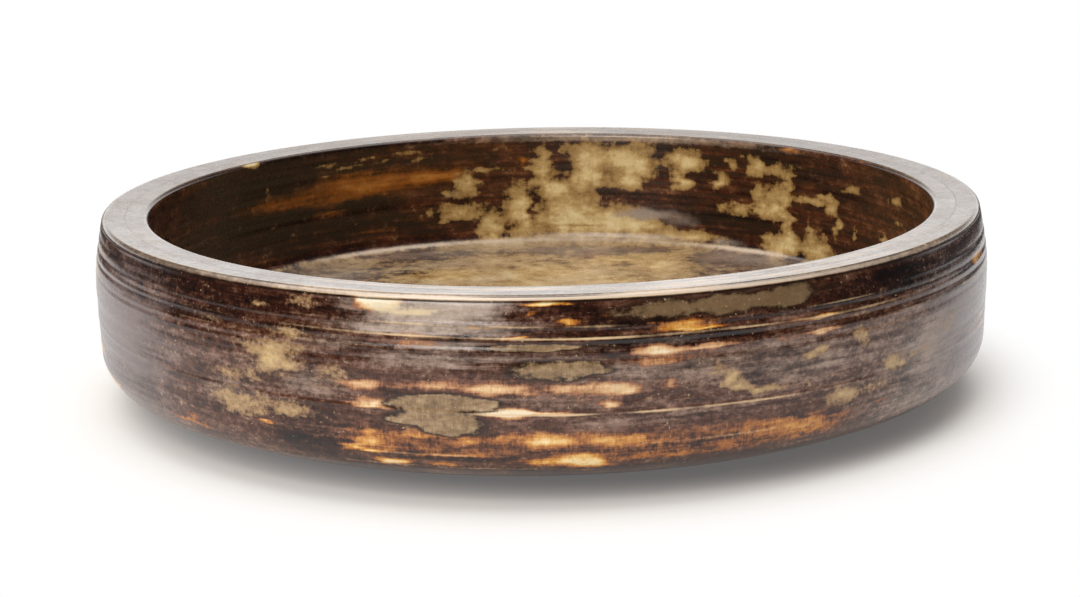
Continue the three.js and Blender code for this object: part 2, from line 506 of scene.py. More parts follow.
# Sandy patches are opaque and beige.
OUTSIDE_SANDY = [
    (242, 44.6, 2.2, 1.6, 0.7),
    (235.6, 43.1, 2.4, 0.6, 0.75),
    (229.3, 37.6, 1.2, 0.6, 0.55),
    (236.8, 37.8, 1.5, 0.7, 0.6),
    (240.6, 37.4, 2.2, 1.0, 1.0),
    (240.8, 34.2, 1.8, 1.0, 0.7),
    (238, 31.2, 2.4, 3.2, 1.75),
    (237, 28.5, 2.0, 1.2, 0.9),
    (234.5, 33.2, 2.2, 1.4, 0.6),
    (233, 26, 4.6, 1.6, 0.75),
    (232.4, 19.8, 3.4, 2.9, 1.05),
    (236.4, 21.3, 2.3, 1.4, 0.85),
    (240.5, 20.0, 2.6, 1.9, 1.0),
    (234, 17.6, 1.2, 0.6, 0.7),
    (225.2, 19.1, 1.0, 0.8, 0.6),
    (245.8, 29.7, 1.4, 2.0, 0.8),
    (245.3, 26.2, 1.6, 1.4, 0.45),
    (253.5, 18.9, 1.5, 0.6, 0.6),
    (241.5, 29, 1.5, 1.5, 0.4),
    (291, 27.2, 1.3, 1.5, 1.6),
    (289.7, 30.2, 1.1, 1.4, 0.95),
    (288.6, 28.8, 0.9, 0.5, 0.6),
    (292.6, 25.6, 1.0, 1.3, 1.4),
    (293.8, 23.9, 1.0, 1.4, 1.45),
    (295.8, 23.9, 1.8, 0.9, 1.1),
    (297.6, 24.3, 0.9, 0.4, 0.6),
    (281.9, 24.8, 0.7, 0.7, 0.75),
    (286.6, 24.2, 1.0, 0.6, 0.6),
    (283, 28.5, 0.9, 0.8, 0.5),
    (302.1, 30.2, 0.6, 1.1, 1.3),
    (308.6, 31.8, 1.4, 2.2, 1.25),
    (308.2, 36.6, 1.4, 0.5, 0.65),
    (314.7, 23.8, 2.6, 1.7, 1.4),
    (314.1, 26.4, 0.6, 0.9, 0.7),
    (306.4, 19.2, 2.0, 1.6, 1.5),
    (312, 19.6, 3.0, 1.0, 0.75),
    (300.6, 23.6, 0.7, 0.7, 1.0),
    (316, 31, 1.5, 0.8, 0.45),
    (320, 24, 3, 1.5, 0.4),
    (327, 28, 2, 3, 0.55),
]
# Olive patches are grey-green islands with a dark line round them.
OUTSIDE_OLIVE = [
    (258.6, 24.3, 5.6, 2.0, 1.15),
    (263, 24.7, 1.6, 0.8, 0.8),
    (257.6, 20.8, 5.2, 1.8, 1.15),
    (259.6, 19.0, 3.4, 1.9, 1.1),
    (270.5, 31.6, 4.8, 2.5, 0.8),
    (275, 32, 2.6, 1.8, 0.75),
    (268.5, 36.5, 6.5, 0.9, 0.85),
    (277, 36.6, 2.4, 0.6, 0.6),
    (283.5, 43.6, 6.0, 2.4, 0.75),
    (291, 43.2, 3.2, 2.8, 0.85),
    (299, 43.4, 3.8, 2.8, 0.85),
    (295, 43.6, 4, 2.4, 0.7),
    (304.5, 43.8, 1.8, 1.2, 0.5),
    (276.5, 43.4, 2.6, 1.6, 0.5),
    (330.5, 42.3, 2.5, 0.9, 0.5),
]
# Milky patches are a thin grey-beige veil. Those high on the front-left, at 248 to 262 degrees, are partly a
# painted highlight, and those at both sides, at 211 to 214 and 318 to 330 degrees, are partly a painted
# reflection of the bright room.
OUTSIDE_MILKY_AND_REFLECTION = [
    # Partly a painted highlight, high on the front-left:
    (259.5, 44, 5.4, 3.0, 1.25),
    (252.5, 44.6, 3.4, 2.6, 1.1),
    (255, 42.3, 5, 1.0, 0.8),
    (257, 40.4, 8, 1.4, 0.95),
    (248, 44.5, 2, 2.2, 0.5),
    (261, 37.2, 3.5, 0.9, 0.7),
    (257, 37.4, 3, 0.8, 0.6),
    (247, 36.5, 4, 1.3, 0.4),
    (243, 27, 4, 3, 0.4),
    (258, 34, 10, 2.5, 0.5),
    (275, 35.4, 14, 1.6, 0.28),
    (300, 29, 12, 6, 0.42),
    (272, 25, 12, 3, 0.3),
    (232, 22, 5, 4, 0.4),
    (283, 31, 10, 3, 0.45),
    (283, 20, 14, 1.8, 0.25),
    (296, 33.5, 4, 1.5, 0.5),
    # Partly a painted reflection of the bright room, at both sides:
    (330, 29, 8, 8, 0.35),
    (211, 26, 10, 11, 0.3),
    (322, 24, 9, 9, 0.6),
    (318, 14, 9, 4, 0.5),
    (214, 14, 9, 4, 0.25),
]
# Dark patches are thick, nearly black glaze.
OUTSIDE_DARK = [
    (225, 43.6, 20, 3.2, 0.85),
    (230, 39.4, 8, 1.6, 0.7),
    (272, 43.4, 6.5, 3.2, 0.52),
    (280, 41.8, 10, 1.4, 0.7),
    (268, 40, 5, 0.7, 0.6),
    (300, 40.3, 30, 0.9, 0.7),
    (318, 42.5, 11, 3.6, 1.1),
    (334, 42, 8, 3.6, 0.9),
    (244, 14.5, 5, 4.5, 0.9),
    (260, 12, 6, 0.5, 0.8),
    (278, 13.7, 6, 0.5, 0.8),
    (256, 26.4, 5, 0.35, 0.5),
    (285, 37.0, 9, 1.1, 1.25),
    (285, 9, 40, 1, 0.5),
    (222, 34.2, 7, 0.8, 0.5),
    (224, 38.1, 15, 1.0, 0.9),
    (294, 28, 3, 2, 0.3),
]
INSIDE_SANDY = [
    (144.2, 46.9, 0.9, 1.0, 1.4),
    (128, 42.4, 1.6, 0.5, 0.5),
    (124, 41.2, 2.4, 0.6, 0.5),
    (120.5, 42.9, 1.3, 0.5, 0.48),
    (117, 41.4, 1.9, 0.6, 0.5),
    (112.5, 43.3, 2.6, 0.6, 0.5),
    (109, 41.0, 2.0, 0.5, 0.5),
    (127, 39.4, 1.6, 0.5, 0.42),
    (103, 31.5, 2.0, 3.0, 0.95),
    (106.2, 30.2, 1.2, 0.9, 0.7),
    (104.4, 24.5, 3.4, 2.2, 0.9),
    (106.5, 22.3, 1.2, 1.0, 0.7),
    (100, 37, 2.0, 0.8, 0.75),
    (96.5, 37.5, 1.5, 0.6, 0.5),
    (98.3, 19.5, 1.8, 4.2, 1.0),
    (93.4, 22.5, 2.2, 6.2, 1.1),
    (89.2, 37, 1.5, 5.0, 0.95),
    (77.5, 40.2, 6, 3.2, 0.88),
    (87.5, 30.4, 3.2, 2.6, 1.15),
    (86.5, 35.5, 1.6, 0.8, 0.6),
    (81.4, 35, 2.7, 6.6, 1.2),
    (73.8, 38.2, 4.5, 4.4, 1.2),
    (75.2, 33, 2.8, 2.4, 1.0),
    (64.4, 39.6, 3.6, 3.0, 1.15),
    (65, 34.6, 1.4, 3.8, 0.95),
    (58.1, 34.7, 1.4, 2.2, 1.05),
    (56.2, 40.2, 1.1, 1.3, 0.85),
    (57.8, 25.8, 1.3, 1.8, 0.9),
    (54.5, 26.3, 1.9, 2.3, 1.0),
    (85, 22, 5.5, 5.5, 1.2),
    (78, 20.5, 7, 3.8, 1.3),
    (71, 21, 2.5, 2.0, 1.0),
    (64, 17.7, 6, 1.4, 0.85),
    (51.6, 39.8, 1.1, 2.8, 0.85),
    (47, 40, 2.8, 2.2, 0.6),
    (50.8, 32, 1.1, 2.6, 0.85),
    (48.2, 28, 2.2, 3.0, 1.1),
    (47.5, 33.5, 2, 2.4, 0.5),
    (44.8, 28, 1.2, 8.5, 0.95),
    (45.5, 18.8, 3.2, 3.2, 1.15),
    (38.6, 18.5, 3.8, 2.8, 0.95),
    (39.6, 22.6, 0.5, 1.6, 0.7),
    (36.6, 22.6, 0.5, 1.6, 0.7),
    (39.6, 32.4, 2.8, 0.8, 0.9),
    (35.4, 32, 1.7, 2.8, 0.9),
    (34, 27, 0.9, 3.0, 0.8),
    (30, 37.8, 1.5, 1.0, 0.75),
    (29.3, 25.6, 0.8, 1.8, 0.7),
    (17, 38.5, 3.0, 1.0, 0.7),
    (15, 33.3, 1.4, 0.8, 0.55),
    (20.5, 27.5, 1.6, 0.8, 0.6),
]
# Gaps are dark holes in the sandy patches.
INSIDE_GAPS = [
    (96.2, 19.3, 0.5, 0.9, 0.9),
    (91, 24, 0.5, 4, 0.9),
    (78.6, 41, 0.5, 1.6, 0.6),
    (68.2, 34, 1.2, 5, 1.0),
    (79, 28, 0.8, 2.4, 0.6),
    (86.3, 38.5, 1.0, 2.4, 0.8),
    (69, 27.6, 7.5, 2.2, 1.0),
    (60, 23, 8, 3, 1.0),
    (84, 19.4, 4, 0.3, 0.5),
]
# Dark patches. The two wide ones on the left of the far wall, at 130 and 138 degrees, are partly painted
# shade where the bowl's left side shades its inside.
INSIDE_DARK_AND_SHADE = [
    (74, 43.6, 14, 0.7, 1.0),
    (40, 41, 9, 3.5, 0.6),
    (70, 19, 5, 0.4, 0.5),
    (130, 22, 18, 4, 0.8),
    (55, 22.5, 6, 3, 0.6),
    (138, 34, 18, 14, 1.1),
]
INSIDE_WARM = [
    (136, 33.6, 13, 3.4, 0.5),
    (121, 34.8, 9, 3.8, 0.8),
    (108.5, 35.3, 6, 2.2, 0.9),
    (126, 31.5, 9, 2.0, 0.35),
    (128, 28.5, 4, 0.7, 0.5),
    (120, 21.5, 9, 0.5, 0.45),
    (93, 38.9, 1.0, 1.5, 0.95),
    (43.5, 46.4, 2.4, 0.8, 1.0),
    (26, 46.9, 2.5, 0.6, 0.8),
    (44.5, 31, 0.8, 3, 0.6),
    (34.6, 29.3, 0.6, 0.8, 0.8),
]
INSIDE_MILKY = [
    (71.5, 23.4, 4, 1.5, 1.2),
    (65, 22, 3.5, 1.8, 0.6),
    (57, 17, 3, 1.0, 0.7),
    (106, 30, 2, 1.5, 0.4),
]
# Darker blots on the floor, as (x, y, half width, half depth, strength) in millimetres. The three wide ones
# near the left and right walls are partly painted shade.
FLOOR_GAPS_AND_SHADE = [
    (30, 86, 9, 4, 0.95),
    (2, 88, 7, 3.5, 0.75),
    (12, 84, 11, 10, 0.6),
    (49, 75, 8, 9, 0.75),
    (58, 72, 12, 6, 0.5),
    (48, 60, 6, 8, 0.35),
    (26, 68, 7, 4, 0.35),
    (-36, 84, 16, 8, 0.75),
    (-12, 86, 12, 6, 0.35),
    (-62, 62, 26, 24, 0.62),
    (-92, 34, 26, 40, 0.75),
    (72, 50, 22, 24, 0.52),
]
# Pale ridges where the glaze is thin, as (height at the front, half width in mm, strength, and a list of
# stretches where the line is strong). A stretch is (angle, half width in degrees, strength).
OUTSIDE_RIDGES = [
    (41.15, 0.22, 0.08, [(258, 11, 0.8), (275, 9, 0.5), (308, 5, 0.5)]),
    (38.65, 0.24, 0.12, [(252, 9, 0.8), (270, 6, 0.75), (286, 12, 0.75), (307, 9, 0.5)]),
    (36.0, 0.2, 0.15, [(240, 12, 0.25)]),
    (22.2, 0.26, 0.0, [(274, 10, 1.0), (285, 5, 0.9), (297, 9, 0.9), (262, 3, 0.4)]),
    (26.6, 0.3, 0.0, [(225, 8, 0.3)]),
    (12.6, 0.25, 0.0, [(250, 6, 0.6), (262, 7, 0.4)]),
    (9.4, 0.22, 0.0, [(255, 8, 0.5), (268, 9, 0.4)]),
    (15.2, 0.25, 0.0, [(226, 6, 0.4), (290, 12, 0.35)]),
]
# Dark lines where the glaze pools, in the same form.
OUTSIDE_POOLS = [
    (38.1, 0.26, 0.5, [(262, 26, 0.4)]),
    (40.5, 0.2, 0.3, [(260, 20, 0.3)]),
    (43.0, 0.2, 0.2, []),
    (36.2, 0.25, 0.3, [(320, 16, 0.5)]),
    (21.6, 0.2, 0.1, [(272, 12, 0.35)]),
    (11.8, 0.3, 0.3, [(256, 12, 0.6)]),
    (25.4, 0.25, 0.0, [(247, 8, 0.5), (262, 8, 0.4)]),
]


def lines(angle, height, places, seed):
    """Thin lines round the bowl, each with the grooves' slant, fading in and out and wavering in height."""
    waver = 0.1 * wander(angle, height * 0.1, seed, 30, 40)
    height = height - slant(np.radians(angle)) + waver
    fade = np.clip(0.85 + 0.35 * wander(angle, height, seed + 1, 10, 4), 0.2, 1.4)
    result = np.zeros(height.shape)
    for level, half, everywhere, stretches in places:
        strong = sum(s * bell(away_from(middle, angle), 0, width) for middle, width, s in stretches)
        result = np.maximum(result, (everywhere + strong) * fade * bell(height, level, half))
    return result


def scattered(seed, count, angles, levels, width, depth, strength):
    """Patches strewn over the part of the bowl that the photograph doesn't show, from fixed random draws."""
    draw = np.random.default_rng(seed)
    widths, depths = draw.lognormal(0, 0.5, (2, count))
    at_angle = draw.uniform(*angles, count)
    at_level = draw.uniform(*levels, count)
    strengths = strength * draw.uniform(0.6, 1.2, count)
    return np.stack([at_angle, at_level, width * widths, depth * depths, strengths], 1).tolist()


def paint_rim(piece):
    """Paints the flat of the rim alike on both coats: even brown, more tan at the front and the back, with
    blots and with streaks that the wheel drew out."""
    angle, radius, height = places_of(piece)
    front = bell(away_from(THIN_AND_HIGHLIGHT_SIDE, angle), 0, 55)
    back = bell(away_from(85, angle), 0, 40)
    blots = 0.25 * wander(angle, radius, 33, 14, 4)
    streaks = 0.35 * wander(angle, radius, 39, 24, 1.0)
    shown = np.clip((height - (RIM_HEIGHT - 1)) / 0.4, 0, 1)
    paint(piece, "rim", shown)
    paint(piece, "tan", (0.12 + 0.33 * front + 0.22 * back) * (1 + blots + streaks) * shown)


def paint_outside(piece):
    """Lays out the outside glaze: its front as in the photograph, and the back in the same manner."""
    angle, radius, height = places_of(piece)
    back = UNSEEN_OUTSIDE
    places = {
        "warm": OUTSIDE_WARM + scattered(1, 80, back, (8, 45), 3.4, 0.8, 0.95),
        "sandy": OUTSIDE_SANDY + scattered(2, 60, back, (14, 44), 2.0, 1.6, 0.85),
        "olive": OUTSIDE_OLIVE + scattered(3, 14, back, (16, 44), 5.0, 1.3, 0.95),
        "milky": OUTSIDE_MILKY_AND_REFLECTION + scattered(4, 40, back, (10, 44), 4.0, 1.5, 0.7),
        "dark": OUTSIDE_DARK + scattered(5, 20, back, (8, 44), 7.0, 2.0, 0.9),
    }
    for seed, (name, where) in enumerate(places.items()):
        stray = 0.7 if name == "olive" else 1
        paint(piece, name, patches(angle, height, where, seed * 10, stray))

    # The glaze is thin on its ridges and on the rim's outer edge. The pale outer edge is strongest at the
    # front and is partly a painted highlight.
    front = bell(away_from(THIN_AND_HIGHLIGHT_SIDE, angle), 0, 42)
    lip = (0.05 + 0.95 * front) * np.clip((radius - (RIM_RADIUS - 0.7)) / 0.3, 0, 1)
    lip = lip * np.clip((height - (RIM_HEIGHT - 1.15)) / 0.2, 0, 1)
    paint(piece, "thin", np.maximum(lines(angle, height, OUTSIDE_RIDGES, 31), lip))

    # It pools in the grooves. The dark in the crease under the rim is pooled glaze and painted shade under
    # the lip. The broken dark line where the rim bends down is pooled glaze and partly a painted dark
    # reflection.
    crease_height, _, crease_width = CREASE
    crease = 0.9 * bell(height, crease_height, crease_width)
    bend = front * bell(height, RIM_HEIGHT - 0.35, 0.13) * (radius > RIM_RADIUS - 0.8)
    bend = bend * np.clip(0.7 + 0.4 * wander(angle, 0, 37, 20, 9), 0, 1)
    paint(piece, "pool_shade_and_reflection", np.maximum(lines(angle, height, OUTSIDE_POOLS, 35), np.maximum(crease, bend)))

    # Both sides of the bowl have a calm, pale stretch, partly a painted reflection of the bright room where
    # the wall turns from view.
    side = np.maximum(bell(angle, 208, 15), bell(angle, 334, 12)) * bell(height, 27, 17)
    paint(piece, "haze_and_reflection", side * (0.9 + 0.15 * wander(angle, height, 38, 14, 4)))

    # Thin glaze is golden near the heel and near the rim, apart from one pale stretch high on the front-left,
    # where the cream is partly a painted highlight.
    heel = np.clip((19.5 - height) / 3, 0, 0.7) + np.clip((14 - height) / 6, 0, 0.3)
    top = np.clip((height - 37) / 2, 0, 1) * (1 - bell(angle, 250, 9))
    paint(piece, "golden", heel + top)


def paint_inside(piece):
    """Lays out the inside glaze: the far wall as in the photograph, the near wall in the same manner, and the
    floor nearly all sandy."""
    angle, radius, height = places_of(piece)
    near = UNSEEN_INSIDE
    gaps = patches(angle, height, INSIDE_GAPS + scattered(6, 40, near, (16, 45), 3.2, 2.2, 1.0), 60)
    sandy = patches(angle, height, INSIDE_SANDY + scattered(7, 60, near, (16, 44), 3.6, 3.4, 0.95), 70)
    sandy = sandy * (1 - np.clip(gaps, 0, 1))

    # The floor's sand and its milky veil are cloudy, apart from the middle, and run a little way up the wall.
    # Near the left and right walls the floor is darker, partly painted shade.
    x, y = radius * np.cos(np.radians(angle)), radius * np.sin(np.radians(angle))
    blots = np.zeros(len(x))
    for at_x, at_y, half_width, half_depth, strength in FLOOR_GAPS_AND_SHADE:
        blots = blots + strength * np.exp(-(((x - at_x) / half_width) ** 2) - ((y - at_y) / half_depth) ** 2)
    blots = blots * np.clip((FLOOR_HEIGHT + 1.2 - height) / 0.9, 0, 1)
    reach = 1.9 + 1.6 * bell(angle, 78, 20)
    on_floor = np.clip((FLOOR_HEIGHT + reach - height) / 1.4, 0, 1)
    off_middle = np.clip(radius / 30, 0, 1)
    cloudy = 0.1 * wander(angle, radius, 64, 34, 22) * off_middle
    paint(piece, "sandy", np.maximum(sandy, on_floor * (0.64 + cloudy - 0.8 * blots)))
    veil = 0.42 - 0.002 * x + 0.1 * wander(angle, radius, 65, 30, 16) * off_middle
    paint(piece, "milky", np.maximum(patches(angle, height, INSIDE_MILKY, 90), on_floor * veil))

    warm = INSIDE_WARM + scattered(8, 25, near, (20, 42), 5, 1.3, 0.8)
    paint(piece, "warm", patches(angle, height, warm, 80))
    paint(piece, "dark", patches(angle, height, INSIDE_DARK_AND_SHADE, 95))

    # The glaze is thin in a band under the far lip, and in a pale line at the foot of the wall. The band is
    # partly a painted highlight under the far lip, and the line partly a painted reflection of the overhead
    # light.
    band = np.clip((height - (RIM_HEIGHT - 3.2)) / 0.8, 0, 1)
    band = band * np.clip((RIM_HEIGHT - 0.7 - height) / 0.4, 0, 1)
    band = 0.55 * band * bell(away_from(75, angle), 0, 30)
    foot = 0.15 + 0.85 * (bell(angle, 116, 16) + bell(angle, 52, 9))
    foot = foot * bell(height, FLOOR_HEIGHT + 1.3, 0.55)
    paint(piece, "thin", np.maximum(band, foot))


# Materials


def node(tree, kind, inputs={}, out=0, stops=(), **settings):
    """Adds a shader node with its settings, fills or links its inputs, sets a ramp's stops, which are given
    from low to high, and gives one output."""
    made = tree.nodes.new("ShaderNode" + kind)
    for name, value in settings.items():
        setattr(made, name, value)
    for name, value in inputs.items():
        if isinstance(value, bpy.types.NodeSocket):
            tree.links.new(value, made.inputs[name])
        else:
            made.inputs[name].default_value = value
    first_last_rest = (*stops[:1], *stops[-1:], *stops[1:-1])
    for i, (position, colour) in enumerate(first_last_rest):
        elements = made.color_ramp.elements
        stop = elements[i] if i < 2 else elements.new(position)
        stop.position = position
        stop.color = linear(colour)
    return made.outputs[out]


def total(tree, start, *parts):
    """A number plus each part times its weight."""
    for part, weight in parts:
        start = node(tree, "Math", {0: part, 1: weight, 2: start}, operation="MULTIPLY_ADD")
    return start


def cloud(tree, across, up, detail=4.0, roughness=0.6):
    """Noise between about -1 and 1, with features of these widths in mm round the bowl and up it."""
    place = node(tree, "TexCoord", out=3)
    scale = (1 / across / MM, 1 / across / MM, 1 / up / MM)
    scaled = node(tree, "Mapping", {"Vector": place, "Scale": scale})
    noise = {"Vector": scaled, "Scale": 1.0, "Detail": detail, "Roughness": roughness}
    middle = {"Value": node(tree, "TexNoise", noise), "From Min": 0.3, "From Max": 0.7, "To Min": -1.0}
    return node(tree, "MapRange", middle, clamp=False)


def layer(tree, below, colour, value, low, high, most=1.0):
    """One colour laid over another, not at all where a value is low and as the most where it is high."""
    limits = {"Value": value, "From Min": low, "From Max": high, "To Max": most}
    where = node(tree, "MapRange", limits, interpolation_type="SMOOTHSTEP")
    return node(tree, "Mix", {"Factor": where, 6: below, 7: colour}, out=2, data_type="RGBA")


def rim_glaze(tree, painted, below, blot, crumb):
    """The flat of the rim over the colours below: brown, and tan where it is thin, with blots and crumbs."""
    colour = layer(tree, below, linear("#594534"), painted["rim"], 0.0, 1.0, 0.92)
    tan = total(tree, 0.0, (painted["tan"], 1.0), (blot, 0.14), (crumb, 0.16))
    return layer(tree, colour, linear("#bea282"), tan, 0.1, 1.1)


def ceramic(name):
    """A new material for glaze or clay, with its tree and its shader. Both are made of silicates, which bend
    light about as window glass does."""
    made = bpy.data.materials.new(name)
    made.use_nodes = True
    shader = made.node_tree.nodes["Principled BSDF"]
    shader.inputs["IOR"].default_value = 1.52
    return made, made.node_tree, shader


def outside_glaze():
    """Iron-brown stoneware glaze, poured and fired to a glassy coat. The eye sees reflections over a deep
    brown that breaks to amber and gold where it ran thin, with cloudy patches of beige and olive."""
    made, tree, shader = ceramic("brown_iron_glaze")
    names = ("warm", "golden", "sandy", "olive", "milky", "haze_and_reflection", "dark", "thin", "pool_shade_and_reflection", "rim", "tan")
    painted = {name: node(tree, "Attribute", attribute_name=name, out=2) for name in names}

    # Streaks drawn out by the wheel are two centimetres long and a millimetre high, and clouds and blots have
    # the sizes that the photograph shows. Crumbs are crystals, about 0.3 mm wide on a real glaze, and grain
    # is fine runs, about 0.2 mm wide: both are drawn two to four times coarser, so that they show.
    streak = cloud(tree, 22, 1.2, 6, 0.65)
    drift = cloud(tree, 12, 5, 5)
    blot = cloud(tree, 3.2, 1.5, 4)
    crumb = cloud(tree, 1.1, 0.9, 3, 0.7)
    grain = cloud(tree, 0.45, 2.6, 3)

    # The body of the glaze: dark brown, broken by streaks that run round the bowl and by fine mottling.
    tone = total(tree, 0.52, (streak, 0.14), (drift, 0.12), (blot, 0.14), (crumb, 0.14), (grain, 0.03))
    tone = total(tree, tone, (painted["dark"], -0.32))
    browns = [
        (0.1, "#110603"),
        (0.32, "#31150a"),
        (0.5, "#513121"),
        (0.66, "#755344"),
        (0.84, "#977969"),
        (1.0, "#b79e8a"),
    ]
    colour = node(tree, "ValToRGB", {0: tone}, stops=browns)

    # Milky patches let the brown through. High on the front-left they are partly a painted highlight, and at
    # both sides partly a painted reflection.
    milk = total(tree, -0.08, (painted["milky"], 1.0), (streak, 0.16), (crumb, 0.07), (drift, 0.14))
    milk = total(tree, milk, (blot, 0.1))
    veil = total(tree, 0.5, (crumb, 0.16), (blot, 0.2), (streak, 0.16), (grain, 0.08))
    veil = node(tree, "ValToRGB", {0: veil}, stops=[(0.1, "#a08d79"), (0.9, "#d2bfb2")])
    colour = layer(tree, colour, veil, milk, 0.0, 1.0, 0.88)

    # At the sides the glaze is a calm lavender grey, partly a painted reflection of the bright room.
    haze_and_reflection = total(tree, -0.03, (painted["haze_and_reflection"], 1.0), (drift, 0.1), (streak, 0.14), (crumb, 0.05))
    colour = layer(tree, colour, linear("#766663"), haze_and_reflection, 0.1, 0.85, 0.85)

    # Where the glaze ran thin it goes from red-brown over peach to cream, or over gold near rim and heel.
    glow = total(tree, -0.04, (painted["warm"], 0.92), (streak, 0.14), (drift, 0.08), (blot, 0.1))
    glow = total(tree, glow, (crumb, 0.09), (grain, 0.08))
    peaches = [
        (0.05, "#45271a"),
        (0.26, "#71432e"),
        (0.44, "#a16d49"),
        (0.62, "#ca996c"),
        (0.82, "#e5c393"),
        (1.0, "#f2e0c2"),
    ]
    golds = [
        (0.05, "#42220d"),
        (0.26, "#6b3b1a"),
        (0.44, "#a5632a"),
        (0.62, "#cf8f36"),
        (0.82, "#e8bd70"),
        (1.0, "#f4dba4"),
    ]
    peach = node(tree, "ValToRGB", {0: glow}, stops=peaches)
    gold = node(tree, "ValToRGB", {0: glow}, stops=golds)
    amber = layer(tree, peach, gold, painted["golden"], 0.0, 1.0)
    # Where milky patches are strong the amber turns cream, which high on the front-left is partly a painted
    # highlight.
    amber = layer(tree, amber, linear("#e0d1b0"), painted["milky"], 0.5, 1.0, 0.75)
    colour = layer(tree, colour, amber, glow, 0.08, 0.46)

    # Sandy patches are darker and thinner towards their crumbling edges.
    sand = total(tree, -0.05, (painted["sandy"], 0.9), (crumb, 0.25), (blot, 0.22), (drift, 0.1))
    sand = total(tree, sand, (grain, 0.05))
    beige = total(tree, 0.08, (crumb, 0.2), (blot, 0.14), (drift, 0.1), (painted["sandy"], 0.55))
    beiges = [(0.1, "#573d27"), (0.4, "#8f6e4e"), (0.7, "#b5966a"), (1.0, "#d2b380")]
    beige = node(tree, "ValToRGB", {0: beige}, stops=beiges)
    colour = layer(tree, colour, beige, sand, 0.12, 0.72, 0.92)

    # Olive islands fade into the brown, and the strong ones have a thin dark line round them.
    island = total(tree, -0.05, (painted["olive"], 0.85), (drift, 0.05), (blot, 0.07), (crumb, 0.05))
    olive = total(tree, 0.47, (crumb, 0.14), (blot, 0.2), (drift, 0.16), (grain, 0.1))
    olives = [(0.1, "#5b4731"), (0.5, "#997d5c"), (1.0, "#cbb38e")]
    olive = node(tree, "ValToRGB", {0: olive}, stops=olives)
    olive = layer(tree, olive, linear("#6d563b"), painted["golden"], 0.5, 1.0, 0.8)
    colour = layer(tree, colour, linear("#29180d"), island, 0.22, 0.36, 0.85)
    colour = layer(tree, colour, olive, island, 0.36, 0.52, 0.9)

    # The rim, thin glaze on its edge and the ridges, pooled glaze in the grooves, and pale specks. The pale
    # outer edge of the rim is partly a painted highlight, the dark in the crease under it partly painted
    # shade, and the dark line where the rim bends partly a painted dark reflection.
    colour = rim_glaze(tree, painted, colour, blot, crumb)
    thin = total(tree, 0.0, (painted["thin"], 1.0), (crumb, 0.08), (blot, 0.06))
    # On the rim the pale colour is pinkish white, partly a painted highlight.
    cream = layer(tree, linear("#dfbf94"), linear("#dcc7b2"), painted["rim"], 0.0, 0.5)
    colour = layer(tree, colour, cream, thin, 0.05, 0.9, 0.95)
    pool_shade_and_reflection = total(tree, 0.0, (painted["pool_shade_and_reflection"], 1.0), (crumb, 0.08))
    colour = layer(tree, colour, linear("#1a0d07"), pool_shade_and_reflection, 0.15, 0.9, 0.85)
    speck = total(tree, 0.0, (cloud(tree, 0.8, 0.7, 1, 0.4), 0.85), (drift, 0.25), (painted["sandy"], 0.2))
    colour = layer(tree, colour, linear("#b9a082"), speck, 0.85, 1.3, 0.6)
    tree.links.new(colour, shader.inputs["Base Color"])

    # The coat is glossy, a little duller on its crumbs, and slightly uneven everywhere but on the rim.
    gloss = total(tree, 0.2, (crumb, 0.05), (drift, 0.04), (blot, 0.03))
    tree.links.new(gloss, shader.inputs["Roughness"])
    relief = total(tree, 0.0, (crumb, 0.6), (blot, 0.5), (grain, 0.3))
    smooth = node(tree, "MapRange", {"Value": painted["rim"], "To Min": 1.0, "To Max": 0.15})
    relief = node(tree, "Math", {0: relief, 1: smooth}, operation="MULTIPLY")
    bump = node(tree, "Bump", {"Height": relief, "Distance": 0.00002, "Strength": 0.7})
    tree.links.new(bump, shader.inputs["Normal"])
    return made


